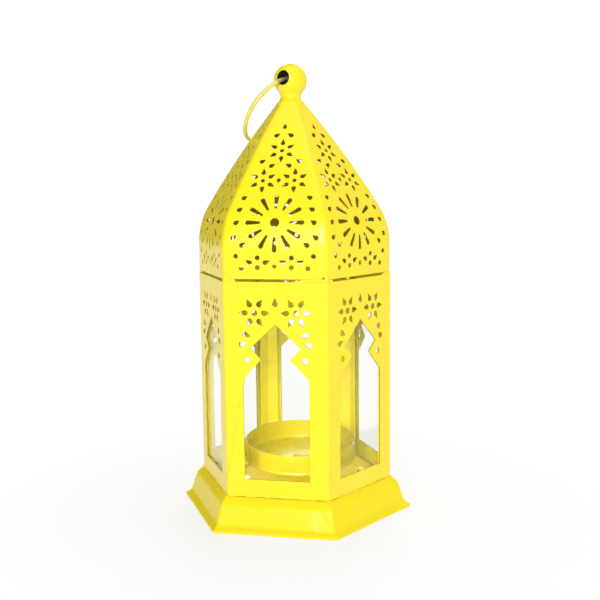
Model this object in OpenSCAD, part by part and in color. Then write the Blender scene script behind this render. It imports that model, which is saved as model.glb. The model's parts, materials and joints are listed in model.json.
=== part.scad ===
// Hexagonal candle lantern of painted sheet metal: a flared base, six glazed
// walls, a pierced dome of six petals, a ball finial with a hanging ring, and a
// candle cup on a plate that drops out through the floor and turns to lock.
// Millimetres. Origin on the table under the lantern's axis, +Z up, front wall
// facing -Y, corners at 0, 60, 120 degrees and so on.

/* [Body] */
// Width of one wall, which is also the distance from the axis to a corner
side_w = 45; // [44:0.5:46]
// Height of the walls
wall_h = 94.5; // [94:0.5:96]
// Thickness of the sheet metal
sheet_t = 0.7; // [0.5:0.1:0.8]
// Thickness of the window glass
glass_t = 1.2; // [1:0.1:1.4]

/* [Base] */
// Height of the base, from the table to the foot of the walls
base_h = 14.1; // [14:0.1:15]
// How far the lip of the base reaches beyond the walls
base_flare = 8.2; // [8:0.1:8.6]

/* [Dome] */
// Open slit between the walls and the dome
slit_h = 1.1; // [0.8:0.1:1.6]
// Angle that the shoulder of the dome turns through
shoulder_turn = 28.5; // [28:0.5:29]
// Further angle that the slope of the dome turns through
slope_turn = 7.5; // [7:0.5:8]

/* [Finial and ring] */
// Radius of the ball
ball_r = 7.5; // [7.2:0.1:7.8]
// Radius of the cross hole in the ball
ball_hole_r = 3.1; // [3:0.1:3.3]
// Radius of the ring, to the middle of its wire
ring_r = 16.8; // [16.4:0.1:16.8]
// Radius of the ring's wire
ring_wire_r = 0.95; // [0.8:0.05:1]

/* [Candle cup] */
// Outer radius of the cup
cup_r = 25.4; // [24:0.1:25.6]
// Height of the cup
cup_h = 9.4; // [8:0.1:11]
// How far the cup leans to the front on its loose rivet, in degrees
cup_lean = 4; // [0:0.5:4]
// Where the candle holder sits on the floor, right of the axis
holder_x = 2.1; // [0:0.1:3]
// Where the candle holder sits on the floor, behind the axis
holder_y = 1.5; // [0:0.1:2]

/* [Hidden] */
$fn = 48;

enamel = [1, 0.95, 0.15];
enamel_inside = [0.85, 0.75, 0.1];
glass_tint = [0.85, 0.9, 0.9, 0.35];
solder_tint = [0.95, 0.88, 0.15];

// Distances from the axis to the flat sides of the hexagon
flat_r = side_w * cos(30);
inner_flat_r = flat_r - sheet_t;
// Pieces that meet at a corner stay this far from the corner's plane
mitre_gap = 0.03;
through = 4;

// Levels
wall_top = base_h + wall_h;
dome_foot = wall_top + slit_h;

// ---- Shared geometry

// Copies the front piece to side i of the hexagon, counting anticlockwise
module on_side(i) rotate([0, 0, 60 * (i - 1)]) children();

// The sixth of space behind the front side, short of the corner planes by gap
module front_wedge(low, high, gap) {
    reach = 2 * side_w;
    translate([0, -gap / sin(30), low])
        linear_extrude(high - low)
            polygon([[0, 0], [-reach * tan(30), -reach], [reach * tan(30), -reach]]);
}

// A section of the front side, drawn as distance from the axis and height
module along_side() rotate([90, 0, -90]) linear_extrude(1.4 * side_w, center = true) children();

// A drop with its round end at the origin and its tip up the Y axis
function drop_outline(r, length, steps = 8) =
    let (lift = acos(r / length))
    concat([[0, length]],
        [for (i = [0:steps]) r * direction(90 + lift + i * (360 - 2 * lift) / steps)]);

function direction(angle) = [cos(angle), sin(angle)];

// A drop from its round end to its tip
module drop(round_at, tip_at, r) {
    run = tip_at - round_at;
    translate(round_at)
        rotate(atan2(run[1], run[0]) - 90)
            polygon(drop_outline(r, norm(run)));
}

module both_ways() {
    children();
    mirror([1, 0]) children();
}

// ---- Base

shoulder_fillet = 6.5;
skirt_lean = 16;
skirt_foot_z = 3.4;
toe_fillet = 2.4;
lip_t = 1.35;
base_sheet = 0.8;

function arc_points(centre, r, from, to, steps) =
    [for (i = [0:steps]) centre + r * direction(from + (to - from) * i / steps)];

// Centres of the two bends of the base's section
shoulder_centre = [flat_r, base_h] - shoulder_fillet * direction(65);
skirt_top = shoulder_centre + shoulder_fillet * direction(skirt_lean);
skirt_foot = skirt_top
    + (skirt_top[1] - skirt_foot_z) / cos(skirt_lean) * direction(skirt_lean - 90);
toe_centre = skirt_foot + toe_fillet * direction(skirt_lean);
lip_edge = flat_r + base_flare;

module base_section() {
    outside = concat(
        [[inner_flat_r, base_h]],
        arc_points(shoulder_centre, shoulder_fillet, 65, skirt_lean, 6),
        arc_points(toe_centre, toe_fillet, 180 + skirt_lean, 258, 5),
        [[lip_edge - 0.2, lip_t], [lip_edge, 0.75 * lip_t], [lip_edge - 0.1, 0.2], [lip_edge - 0.4, 0]]);
    inside = concat(
        [[toe_centre[0] - 0.6, 0]],
        arc_points(toe_centre, toe_fillet + base_sheet, 240, 180 + skirt_lean, 4),
        arc_points(shoulder_centre, shoulder_fillet - base_sheet, skirt_lean, 65, 6),
        [[inner_flat_r, base_h - base_sheet]]);
    polygon(concat(outside, inside));
}

corner_seam = 0.08;

module base_side(i) color(enamel)
    on_side(i)
        intersection() {
            along_side() base_section();
            front_wedge(-1, base_h + 1, corner_seam);
        }

// The opening that the candle holder comes up through, with a notch for each lug
floor_hole_r = 28.2;
lug_angles = [12, 218];
notch_reach = 32;
notch_w = 7.5;

module at_holder() translate([holder_x, holder_y, 0]) children();

module floor_plate() color(enamel_inside)
    translate([0, 0, base_h - base_sheet])
        difference() {
            linear_extrude(base_sheet) circle((inner_flat_r - 0.05) / cos(30), $fn = 6);
            at_holder() translate([0, 0, -1]) {
                cylinder(r = floor_hole_r, h = 3);
                for (a = lug_angles)
                    rotate([0, 0, a])
                        translate([floor_hole_r - 4, -notch_w / 2, 0])
                            cube([notch_reach - floor_hole_r + 4, notch_w, 3]);
            }
        }

// ---- Walls. Patterns are drawn in widths of one side, from the top of the wall.

// Half of the window's outline, from its foot to its point
window_half = [[0.32, -1.92], [0.32, -0.93], [0.14, -0.74], [0.245, -0.635], [0, -0.4]];

module window_opening()
    polygon(concat(window_half, [for (i = [3:-1:0]) [-window_half[i][0], window_half[i][1]]]));

// A flower of six drops about a round hole
module flower(centre_r, drop_r, near, far, turn = 0) {
    circle(centre_r);
    for (i = [0:5])
        rotate(60 * i + turn) drop([near, 0], [far, 0], drop_r);
}

module wall_pattern() {
    window_opening();
    drop([0, -0.21], [0, -0.15], 0.025);
    both_ways() {
        translate([0.2, -0.295]) flower(0.028, 0.026, 0.092, 0.148);
        drop([0.294, -0.5], [0.24, -0.522], 0.027);
        drop([0.328, -0.6], [0.272, -0.575], 0.027);
        translate([0.281, -0.75]) circle(0.029);
    }
}

module wall_panel(i) color(enamel)
    on_side(i)
        difference() {
            intersection() {
                translate([-side_w, -flat_r, base_h]) cube([2 * side_w, sheet_t, wall_h]);
                front_wedge(base_h - 1, wall_top + 1, mitre_gap);
            }
            translate([0, -flat_r + through / 2, wall_top])
                rotate([90, 0, 0])
                    linear_extrude(through) scale(side_w) wall_pattern();
        }

// ---- Glass, and the folded strips that hold its edges in the corners

pane_gap = 0.1;
pane_w = 39;
pane_h = 80;
strip_flange = 5.4;
strip_t = 0.5;
strip_h = 88;

module glass_pane(i) color(glass_tint)
    on_side(i)
        translate([-pane_w / 2, -inner_flat_r + pane_gap, base_h])
            cube([pane_w, glass_t, pane_h]);

// Plan of a strip, with its corner along +X: two flanges behind the panes and a
// spine between the panes' edges. The list holds the half with y above 0.
strip_back = inner_flat_r - 2 * pane_gap - glass_t;
strip_spine = 0.45;
strip_tip = inner_flat_r / cos(30) - 0.6;
flange_end = [strip_back / cos(30), 0] + strip_flange * direction(120);
strip_half = [
    [strip_tip, strip_spine],
    [strip_back / cos(30) - strip_spine * tan(30), strip_spine],
    flange_end,
    flange_end - strip_t * direction(30)
];
strip_inner_corner = [(strip_back - strip_t) / cos(30), 0];

module corner_strip(i) color(enamel_inside)
    on_side(i)
        rotate([0, 0, -60])
            translate([0, 0, base_h])
                linear_extrude(strip_h)
                    polygon(concat(strip_half, [strip_inner_corner],
                        [for (k = [3:-1:0]) [strip_half[k][0], -strip_half[k][1]]]));

// ---- Dome. A petal's section runs up in a straight skirt, a shoulder and a long slope.

skirt_length = 0.28 * side_w;
shoulder_r = 0.8 * side_w;
slope_r = 9 * side_w;
degree = 180 / PI;
shoulder_end = skirt_length + shoulder_r * shoulder_turn / degree;
slope_end = shoulder_end + slope_r * slope_turn / degree;
tip_turn = shoulder_turn + slope_turn;

shoulder_at = [flat_r - shoulder_r, skirt_length];
slope_at = shoulder_at + (shoulder_r - slope_r) * direction(shoulder_turn);
petal_tip = slope_at + slope_r * direction(tip_turn);

// Lean from upright of a petal at a length measured up along it, and the point there
function petal_lean(s) =
    s < skirt_length ? 0 :
    s < shoulder_end ? (s - skirt_length) / shoulder_r * degree :
    shoulder_turn + (s - shoulder_end) / slope_r * degree;
function petal_point(s) =
    s < skirt_length ? [flat_r, s] :
    s < shoulder_end ? shoulder_at + shoulder_r * direction(petal_lean(s)) :
    slope_at + slope_r * direction(petal_lean(s));

// A bent stretch of sheet, about the origin
module bend(r, from, to)
    intersection() {
        difference() {
            circle(r, $fn = 360);
            circle(r - sheet_t, $fn = 360);
        }
        polygon([[0, 0], 1.3 * r * direction(from), 1.3 * r * direction(to)]);
    }

module petal_section() {
    translate([flat_r - sheet_t, 0]) square([sheet_t, skirt_length]);
    translate(shoulder_at) bend(shoulder_r, 0, shoulder_turn);
    translate(slope_at) bend(slope_r, shoulder_turn, tip_turn);
}

// Pierces the front petal at a length up along it, in widths of one side
module pierce(s) {
    at = petal_point(s * side_w);
    translate([0, -at[0], at[1]])
        rotate([90 - petal_lean(s * side_w), 0, 0])
            translate([0, 0, -through / 2])
                linear_extrude(through) scale(side_w) children();
}

// Two mirrored drops, from a round end to a tip
module pierce_drops(round_at, tip_at, r)
    pierce(round_at[1])
        both_ways() drop([round_at[0], 0], tip_at - [0, round_at[1]], r);

module pierce_holes(at, r)
    pierce(at[1])
        both_ways() translate([at[0], 0]) circle(r);

module pierce_round(s, r) pierce(s) circle(r);

// A ray of the sun: narrow and round at both ends, wider outside
ray_inner = 0.15;
ray_outer = 0.26;
ray_mid = (ray_inner + ray_outer) / 2;

module ray() {
    half = (ray_outer - ray_inner) / 2;
    polygon(concat(
        arc_points([0, half], 0.021, -5, 185, 8),
        arc_points([0, -half], 0.011, 185, 355, 5)));
}

module pierce_sun(s) {
    pierce_round(s, 0.043);
    for (angle = [0:30:180])
        pierce(s + ray_mid * cos(angle)) {
            across = ray_mid * sin(angle);
            translate([across, 0]) rotate(-angle) ray();
            if (across > 0.01)
                translate([-across, 0]) rotate(angle) ray();
        }
}

// Flowers of six drops with one drop pointing up, mirrored unless x is 0
module pierce_flower(x, s) {
    drop_near = 0.084;
    drop_far = 0.133;
    pierce(s) both_ways() translate([x, 0]) circle(0.019);
    for (angle = [0:60:300]) {
        near = drop_near * [sin(angle), cos(angle)];
        far = drop_far * [sin(angle), cos(angle)];
        if (x > 0)
            pierce_drops([x, s] + near, [x, s] + far, 0.021);
        else
            pierce(s + near[1]) drop([near[0], 0], far - [0, near[1]], 0.021);
    }
}

// Side drops, each from its round end to its tip
edge_drops = [
    [[0.236, 0.155], [0.277, 0.178]],
    [[0.089, 0.156], [0.045, 0.176]],
    [[0.311, 0.318], [0.276, 0.343]],
    [[0.396, 0.387], [0.362, 0.412]],
    [[0.374, 0.53], [0.34, 0.553]],
    [[0.35, 0.66], [0.315, 0.682]],
    [[0.318, 0.783], [0.283, 0.803]],
    [[0.088, 1.131], [0.05, 1.153]],
    [[0.185, 1.18], [0.147, 1.199]],
    [[0.074, 1.478], [0.035, 1.503]]
];
foot_holes = [[0.371, 0.216], [0.163, 0.202], [0.162, 0.11], [0.318, 0.102]];

module petal_pattern() {
    pierce_sun(0.533);
    pierce_flower(0.153, 0.97);
    pierce_flower(0, 1.302);
    for (d = edge_drops) pierce_drops(d[0], d[1], 0.022);
    for (h = foot_holes) pierce_holes(h, 0.022);
    pierce(0.122) drop([0, 0], [0, 0.034], 0.019);
    pierce(0.975) drop([0, 0], [0, -0.032], 0.019);
    pierce(1.576) drop([0, 0], [0, 0.041], 0.019);
}

module dome_petal(i) color(enamel)
    on_side(i)
        translate([0, 0, dome_foot])
            difference() {
                intersection() {
                    along_side() petal_section();
                    front_wedge(-1, petal_tip[1] + 1, mitre_gap);
                }
                petal_pattern();
            }

// Runs of solder that fill the slit at each corner and join the dome to the walls
solder_run = 3.6;
module dome_solder() color(solder_tint)
    translate([0, 0, wall_top])
        linear_extrude(slit_h)
            for (i = [0:5])
                rotate(60 * i)
                    intersection() {
                        difference() {
                            circle(side_w, $fn = 6);
                            circle(side_w - sheet_t / cos(30), $fn = 6);
                        }
                        translate([side_w, 0]) circle(solder_run, $fn = 24);
                    }

// A blob of solder on each corner of the base's shoulder
module base_solder() color(solder_tint)
    for (i = [0:5])
        rotate(60 * i)
            translate([side_w + 0.75, 0, base_h + 0.55])
                sphere(0.7, $fn = 24);

// ---- Finial, one turned piece of ball and neck

neck_r = 0.102 * side_w;
neck_low_fillet = 4.2;
finial_foot = dome_foot + petal_tip[1] + 0.2;
ball_z = finial_foot + 0.24 * side_w;
neck_z = ball_z - 7.3;
ball_hole_z = ball_z + 0.8;
// The cross hole runs towards the front, 20 degrees to its left
ball_hole_turn = 70;

// Radius of the hollow curve between the neck and the ball, tangent to both
neck_drop = ball_z - neck_z;
neck_top_fillet = (neck_r * neck_r + neck_drop * neck_drop - ball_r * ball_r) / (2 * (ball_r - neck_r));
neck_meet = atan2(neck_drop, neck_r + neck_top_fillet);

module neck_section()
    polygon(concat(
        [[0, finial_foot]],
        arc_points([neck_r + neck_low_fillet, neck_z], neck_low_fillet,
            180 + asin((neck_z - finial_foot) / neck_low_fillet), 180, 8),
        arc_points([neck_r + neck_top_fillet, neck_z], neck_top_fillet, 174, 183 - neck_meet, 6),
        [[neck_r, ball_z - 4], [0, ball_z - 4]]));

module finial() color(enamel)
    difference() {
        union() {
            rotate_extrude() neck_section();
            translate([0, 0, ball_z]) sphere(ball_r);
        }
        translate([0, 0, ball_hole_z])
            rotate([0, 90, ball_hole_turn])
                cylinder(r = ball_hole_r, h = 4 * ball_r, center = true);
    }

// ---- Hanging ring, which hangs through the ball and leans on the petal behind and to the left

ring_lean = 53.7;

module hanging_ring() color(enamel)
    translate([0, 0, ball_hole_z])
        rotate([0, 0, ball_hole_turn])
            rotate([90 - ring_lean, 0, 0])
                translate([0, 0, -ring_r])
                    rotate([90, 0, 0])
                        rotate_extrude() translate([ring_r, 0]) circle(ring_wire_r);

// ---- Candle holder: a cup on a loose rivet, over a plate with two lugs

cup_sheet = 0.6;
cup_floor_z = base_h + 7.2;
cup_turn = 11.5;
rivet_r = 2;
rivet_head_r = 3.6;
rivet_head_h = 1.1;
rivet_hole_r = 2.5;
seat_r = 4.4;
seat_drop = 0.25;
boss_r = 8;
boss_top = cup_floor_z - 0.65;
plate_r = 33;
plate_top = base_h - base_sheet - 0.1;
plate_t = 0.8;

// Places the cup and its rivet about the middle of the cup's underside
module at_cup()
    at_holder()
        translate([0, 0, cup_floor_z])
            rotate([0, 0, cup_turn])
                rotate([cup_lean, 0, 0])
                    children();

// The middle of the cup's floor is pressed down a little, so that the rivet's head sits in it
module cup_section() {
    foot_bead = 0.35;
    cove = 0.6;
    wall_in = cup_r - cup_sheet;
    polygon([
        [rivet_r + 0.1, -seat_drop], [seat_r + 0.1, -seat_drop], [seat_r + 0.35, 0],
        [cup_r + foot_bead - 0.3, 0], [cup_r + foot_bead, 0.3],
        [cup_r + foot_bead, 0.9], [cup_r, 1.3], [cup_r, cup_h - 0.2], [cup_r - 0.2, cup_h],
        [wall_in + 0.2, cup_h], [wall_in, cup_h - 0.2],
        [wall_in, cup_sheet + cove], [wall_in - cove, cup_sheet], [seat_r + 0.25, cup_sheet],
        [seat_r, cup_sheet - seat_drop], [rivet_r + 0.1, cup_sheet - seat_drop]
    ]);
}

module candle_cup() color(enamel) at_cup() rotate_extrude($fn = 96) cup_section();

// A low round head in the cup's floor, and a flat one under the plate's boss
module cup_rivet() color(solder_tint)
    at_cup() {
        seat = cup_sheet - seat_drop;
        head_r = (rivet_head_r * rivet_head_r + rivet_head_h * rivet_head_h) / (2 * rivet_head_h);
        rotate_extrude()
            polygon(concat(
                [[0, -2.6], [rivet_head_r, -2.6], [rivet_head_r, -1.9], [rivet_r, -1.9], [rivet_r, seat]],
                arc_points([0, seat + rivet_head_h - head_r], head_r, acos(rivet_head_r / head_r), 90, 6)));
    }

module lock_plate() color(enamel_inside)
    at_holder()
        rotate_extrude($fn = 96)
            polygon([
                [boss_r - plate_t, plate_top - plate_t], [plate_r, plate_top - plate_t],
                [plate_r, plate_top], [boss_r, plate_top], [boss_r, boss_top],
                [rivet_hole_r, boss_top], [rivet_hole_r, boss_top - plate_t],
                [boss_r - plate_t, boss_top - plate_t]
            ]);

// A lug stands on the plate inside the floor's hole and reaches out over the floor
lug_t = 0.8;
lug_w = 4;
lug_stem_r = 26.4;
lug_reach = 30.2;
lug_under = base_h + 0.4;

module lug() {
    translate([lug_stem_r - lug_t, -lug_w / 2, plate_top])
        cube([lug_t, lug_w, lug_under + lug_t - plate_top]);
    translate([lug_stem_r - lug_t, -lug_w / 2, lug_under])
        cube([lug_reach - lug_stem_r + lug_t, lug_w, lug_t]);
}

module lock_lugs() color(enamel_inside)
    at_holder()
        for (a = lug_angles)
            rotate([0, 0, a]) lug();

floor_plate();
dome_solder();
base_solder();
finial();
hanging_ring();
candle_cup();
cup_rivet();
lock_plate();
lock_lugs();
for (i = [1:6]) {
    base_side(i);
    wall_panel(i);
    glass_pane(i);
    corner_strip(i);
    dome_petal(i);
}
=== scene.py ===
"""Hexagonal candle lantern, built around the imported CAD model.

The body and dome are punched and bent sheets with soldered seams, under sprayed enamel.
"""

import json
import math

import bmesh
import bpy
from mathutils import Matrix, Vector, noise


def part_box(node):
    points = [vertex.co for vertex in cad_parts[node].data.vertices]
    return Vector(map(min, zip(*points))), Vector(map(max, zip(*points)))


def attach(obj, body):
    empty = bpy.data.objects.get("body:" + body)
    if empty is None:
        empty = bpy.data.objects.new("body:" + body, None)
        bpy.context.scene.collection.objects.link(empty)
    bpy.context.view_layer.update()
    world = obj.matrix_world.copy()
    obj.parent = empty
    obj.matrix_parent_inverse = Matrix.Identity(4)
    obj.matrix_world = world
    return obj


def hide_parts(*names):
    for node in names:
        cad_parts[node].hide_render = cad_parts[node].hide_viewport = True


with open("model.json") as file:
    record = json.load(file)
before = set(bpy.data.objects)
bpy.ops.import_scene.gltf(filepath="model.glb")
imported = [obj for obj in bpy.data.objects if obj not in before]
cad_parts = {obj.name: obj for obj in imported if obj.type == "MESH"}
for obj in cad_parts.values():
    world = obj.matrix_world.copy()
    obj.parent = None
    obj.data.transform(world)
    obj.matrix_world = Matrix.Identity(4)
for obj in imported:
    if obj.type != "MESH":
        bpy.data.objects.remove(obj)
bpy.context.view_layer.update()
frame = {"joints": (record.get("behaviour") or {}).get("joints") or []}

MM = 0.001
TAN30 = math.tan(math.radians(30))
COS30 = math.cos(math.radians(30))

SHELL = "lantern_shell"
RING = "ring"
HOLDER = "candle_holder"
PLATE = "locking_plate"
SIDES = range(1, 7)


# ---- Dimensions, in millimetres, from the CAD nodes

def node_box(node):
    low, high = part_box(node)
    return low / MM, high / MM


wall_low, wall_high = node_box("wall_panel_1")
flat_r = -wall_low.y
sheet_t = wall_high.y - wall_low.y
side_w = flat_r / COS30
wall_foot = wall_low.z
wall_top = wall_high.z
inner_flat_r = flat_r - sheet_t
dome_foot = node_box("dome_petal_1")[0].z
joints = {j["name"]: j for j in frame["joints"]}


# ---- Mesh helpers. Meshes are built in millimetres and scaled when they become objects.

def direction(angle):
    return (math.cos(math.radians(angle)), math.sin(math.radians(angle)))


def arc(centre, r, start, end, steps):
    points = []
    for i in range(steps + 1):
        x, y = direction(start + (end - start) * i / steps)
        points.append((centre[0] + r * x, centre[1] + r * y))
    return points


def new_object(name, data):
    obj = bpy.data.objects.new(name, data)
    bpy.context.scene.collection.objects.link(obj)
    return obj


def new_mesh(name, bm):
    """Turns bm into a mesh and frees it."""
    mesh = bpy.data.meshes.new(name)
    bm.to_mesh(mesh)
    bm.free()
    return mesh


def evaluated_mesh(obj):
    """The mesh of a curve, or of an object with its modifiers applied."""
    bpy.context.view_layer.update()
    graph = bpy.context.evaluated_depsgraph_get()
    return bpy.data.meshes.new_from_object(obj.evaluated_get(graph))


def make_object(name, bm, body, paints, replaces, smooth_angle=48):
    """Turns a mesh in millimetres into a piece that rides on a CAD body."""
    bmesh.ops.recalc_face_normals(bm, faces=bm.faces)
    limit = math.radians(smooth_angle)
    for face in bm.faces:
        face.smooth = True
    for edge in bm.edges:
        if len(edge.link_faces) == 2 and edge.calc_face_angle(0) > limit:
            edge.smooth = False
    bmesh.ops.scale(bm, vec=(MM, MM, MM), verts=bm.verts)
    obj = new_object(name, new_mesh(name, bm))
    for material in paints:
        obj.data.materials.append(material)
    weighted = obj.modifiers.new("weighted", "WEIGHTED_NORMAL")
    weighted.keep_sharp = True
    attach(obj, body)
    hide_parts(*replaces)
    return obj


def flat_sheet(outline, holes, thickness, lip):
    """A sheet with rounded edges: drawn in XY, its face at z 0 and its back at z -thickness."""
    data = bpy.data.curves.new("sheet", "CURVE")
    data.dimensions = "2D"
    data.fill_mode = "BOTH"
    data.extrude = thickness / 2 - lip
    data.bevel_depth = lip
    data.bevel_resolution = 1
    data.offset = -lip
    for loop in [outline] + holes:
        spline = data.splines.new("POLY")
        spline.points.add(len(loop) - 1)
        for point, (x, y) in zip(spline.points, loop):
            point.co = (x, y, 0, 1)
        spline.use_cyclic_u = True
    obj = new_object("sheet", data)
    mesh = evaluated_mesh(obj)
    bm = bmesh.new()
    bm.from_mesh(mesh)
    bpy.data.objects.remove(obj)
    bpy.data.curves.remove(data)
    bpy.data.meshes.remove(mesh)
    bmesh.ops.remove_doubles(bm, verts=bm.verts, dist=1e-4)
    bmesh.ops.translate(bm, vec=(0, 0, -thickness / 2), verts=bm.verts)
    return bm


def lathe(profile, steps=96, closed=True):
    """Turns a closed list of (radius, height) points about Z."""
    bm = bmesh.new()
    rings = []
    for r, z in profile:
        if r < 1e-6:
            rings.append([bm.verts.new((0, 0, z))] * steps)
        else:
            turns = [2 * math.pi * k / steps for k in range(steps)]
            rings.append([bm.verts.new((r * math.cos(a), r * math.sin(a), z)) for a in turns])
    pairs = list(zip(rings, rings[1:])) + ([(rings[-1], rings[0])] if closed else [])
    for low, high in pairs:
        for k in range(steps):
            corners = [low[k], low[(k + 1) % steps], high[(k + 1) % steps], high[k]]
            distinct = list(dict.fromkeys(corners))
            if len(distinct) > 2:
                bm.faces.new(distinct)
    return bm


def slice_mesh(bm, point, normal):
    bmesh.ops.bisect_plane(bm, geom=bm.verts[:] + bm.edges[:] + bm.faces[:], dist=1e-5,
                           plane_co=point, plane_no=normal)


def trim_mesh(bm, point, normal):
    """Cuts away what lies beyond the plane and closes the cut."""
    cut = bmesh.ops.bisect_plane(bm, geom=bm.verts[:] + bm.edges[:] + bm.faces[:], dist=1e-5,
                                 plane_co=point, plane_no=normal, clear_outer=True)
    edges = [g for g in cut["geom_cut"] if isinstance(g, bmesh.types.BMEdge) and g.is_boundary]
    bmesh.ops.triangle_fill(bm, use_beauty=True, use_dissolve=False, edges=edges)


def turned_to(side):
    """Takes what stands at side 1, or at the first corner, round to another of the six."""
    return Matrix.Rotation(math.radians(60 * (side - 1)), 4, "Z")


def turn(bm, side):
    """Turns a mesh to another side. The operator also brings its face normals up to date."""
    bmesh.ops.transform(bm, matrix=turned_to(side), verts=bm.verts)


def bridge(bm, low, high):
    """Joins two rings of points with faces and gives those faces back."""
    count = len(low)
    return [bm.faces.new([low[k], low[(k + 1) % count], high[(k + 1) % count], high[k]])
            for k in range(count)]


def append_mesh(bm, other, matrix=None):
    """Adds the mesh other to bm and frees it."""
    if matrix is not None:
        other.transform(matrix)
    mesh = new_mesh("part", other)
    bm.from_mesh(mesh)
    bpy.data.meshes.remove(mesh)


def tube(points, radii, sides=10, squash=1.0, up=(0, 0, 1)):
    """A closed tube through points with a radius at each, flattened along up by squash."""
    bm = bmesh.new()
    rings = []
    up = Vector(up)
    for i, p in enumerate(points):
        before, after = points[max(i - 1, 0)], points[min(i + 1, len(points) - 1)]
        along = (Vector(after) - Vector(before)).normalized()
        side = along.cross(up).normalized()
        rise = side.cross(along).normalized()
        ring = []
        for k in range(sides):
            a = 2 * math.pi * k / sides
            outwards = math.cos(a) * side + squash * math.sin(a) * rise
            ring.append(bm.verts.new(Vector(p) + radii[i] * outwards))
        rings.append(ring)
    for low, high in zip(rings, rings[1:]):
        bridge(bm, low, high)
    bm.faces.new(rings[0])
    bm.faces.new(rings[-1])
    return bm


# ---- Materials

def new_material(name):
    material = bpy.data.materials.new(name)
    material.use_nodes = True
    tree = material.node_tree
    shader = tree.nodes["Principled BSDF"]
    return material, tree, shader


def set_inputs(tree, node, values):
    """Links or sets a node's inputs. A tuple is a colour."""
    for key, value in values.items():
        socket = node.inputs[key]
        if isinstance(value, bpy.types.NodeSocket):
            tree.links.new(value, socket)
        elif isinstance(value, tuple):
            socket.default_value = (*value, 1)
        else:
            socket.default_value = value


def add_noise(tree, vector, scale, detail=3, roughness=0.5):
    node = tree.nodes.new("ShaderNodeTexNoise")
    set_inputs(tree, node, {"Vector": vector, "Scale": scale, "Detail": detail, "Roughness": roughness})
    return node.outputs["Fac"]


def add_ramp(tree, value, stops):
    node = tree.nodes.new("ShaderNodeValToRGB")
    ramp = node.color_ramp
    while len(ramp.elements) < len(stops):
        ramp.elements.new(0.5)
    for element, (position, colour) in zip(ramp.elements, stops):
        element.position = position
        element.color = (*colour, 1)
    tree.links.new(value, node.inputs["Fac"])
    return node.outputs["Color"]


def add_mix(tree, factor, a, b):
    """Mixes two colours, each a tuple or a socket."""
    node = tree.nodes.new("ShaderNodeMix")
    node.data_type = "RGBA"
    set_inputs(tree, node, {0: factor, 6: a, 7: b})
    return node.outputs[2]


def add_range(tree, value, low, high, to_low, to_high):
    node = tree.nodes.new("ShaderNodeMapRange")
    set_inputs(tree, node, {
        "Value": value, "From Min": low, "From Max": high, "To Min": to_low, "To Max": to_high,
    })
    return node.outputs["Result"]


def add_math(tree, operation, a, b):
    node = tree.nodes.new("ShaderNodeMath")
    node.operation = operation
    set_inputs(tree, node, {0: a, 1: b})
    return node.outputs[0]


def add_vector_math(tree, operation, vector, other=Vector()):
    """A number worked out from a vector socket and a fixed vector."""
    node = tree.nodes.new("ShaderNodeVectorMath")
    node.operation = operation
    set_inputs(tree, node, {0: vector, 1: other})
    return node.outputs["Value"]


def add_shader_mix(tree, factor, a, b):
    """Mixes two shaders into the material's surface."""
    node = tree.nodes.new("ShaderNodeMixShader")
    set_inputs(tree, node, {0: factor, 1: a, 2: b})
    tree.links.new(node.outputs["Shader"], tree.nodes["Material Output"].inputs["Surface"])


def add_bumps(tree, shader, layers):
    """Stacks bumps, each a (height, strength, distance), into the shader's normal."""
    normal = None
    for height, strength, distance in layers:
        node = tree.nodes.new("ShaderNodeBump")
        set_inputs(tree, node, {"Height": height, "Strength": strength, "Distance": distance})
        if normal is not None:
            tree.links.new(normal, node.inputs["Normal"])
        normal = node.outputs["Normal"]
    tree.links.new(normal, shader.inputs["Normal"])


def object_coordinates(tree):
    return tree.nodes.new("ShaderNodeTexCoord").outputs["Object"]


def enamel_material(name, thick, thin, speck, roughness, coat, peel, ior=1.42):
    """Sprayed enamel: uneven thickness, orange peel, a few dust nibs and pinholes."""
    material, tree, shader = new_material(name)
    at = object_coordinates(tree)
    clouds = add_noise(tree, at, 28, 4, 0.55)
    tone = add_ramp(tree, clouds, [(0.35, thin), (0.62, thick)])
    grains = add_noise(tree, at, 950, 2, 0.6)
    specks = add_range(tree, grains, 0.74, 0.80, 0, 1)
    mottle = add_noise(tree, at, 160, 3, 0.5)
    set_inputs(tree, shader, {
        "Base Color": add_mix(tree, specks, tone, speck),
        "Roughness": add_range(tree, mottle, 0.3, 0.7, roughness * 0.8, roughness * 1.3),
        "Coat Weight": coat, "Coat Roughness": 0.06, "IOR": ior,
    })
    orange = add_noise(tree, at, 620, 2, 0.4)
    waves = add_noise(tree, at, 70, 2, 0.4)
    add_bumps(tree, shader, [(waves, 0.05, 0.0006), (orange, peel, 0.0001), (specks, 0.2, 0.0001)])
    return material


def metal_material(name, bright, dull, roughness):
    material, tree, shader = new_material(name)
    at = object_coordinates(tree)
    clouds = add_noise(tree, at, 240, 5, 0.6)
    set_inputs(tree, shader, {
        "Base Color": add_ramp(tree, clouds, [(0.38, dull), (0.6, bright)]),
        "Roughness": add_range(tree, clouds, 0.3, 0.7, roughness * 1.5, roughness * 0.7),
        "Metallic": 0.85,
    })
    scratches = add_noise(tree, at, 1800, 3, 0.6)
    add_bumps(tree, shader, [(scratches, 0.25, 0.00008)])
    return material


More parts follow.
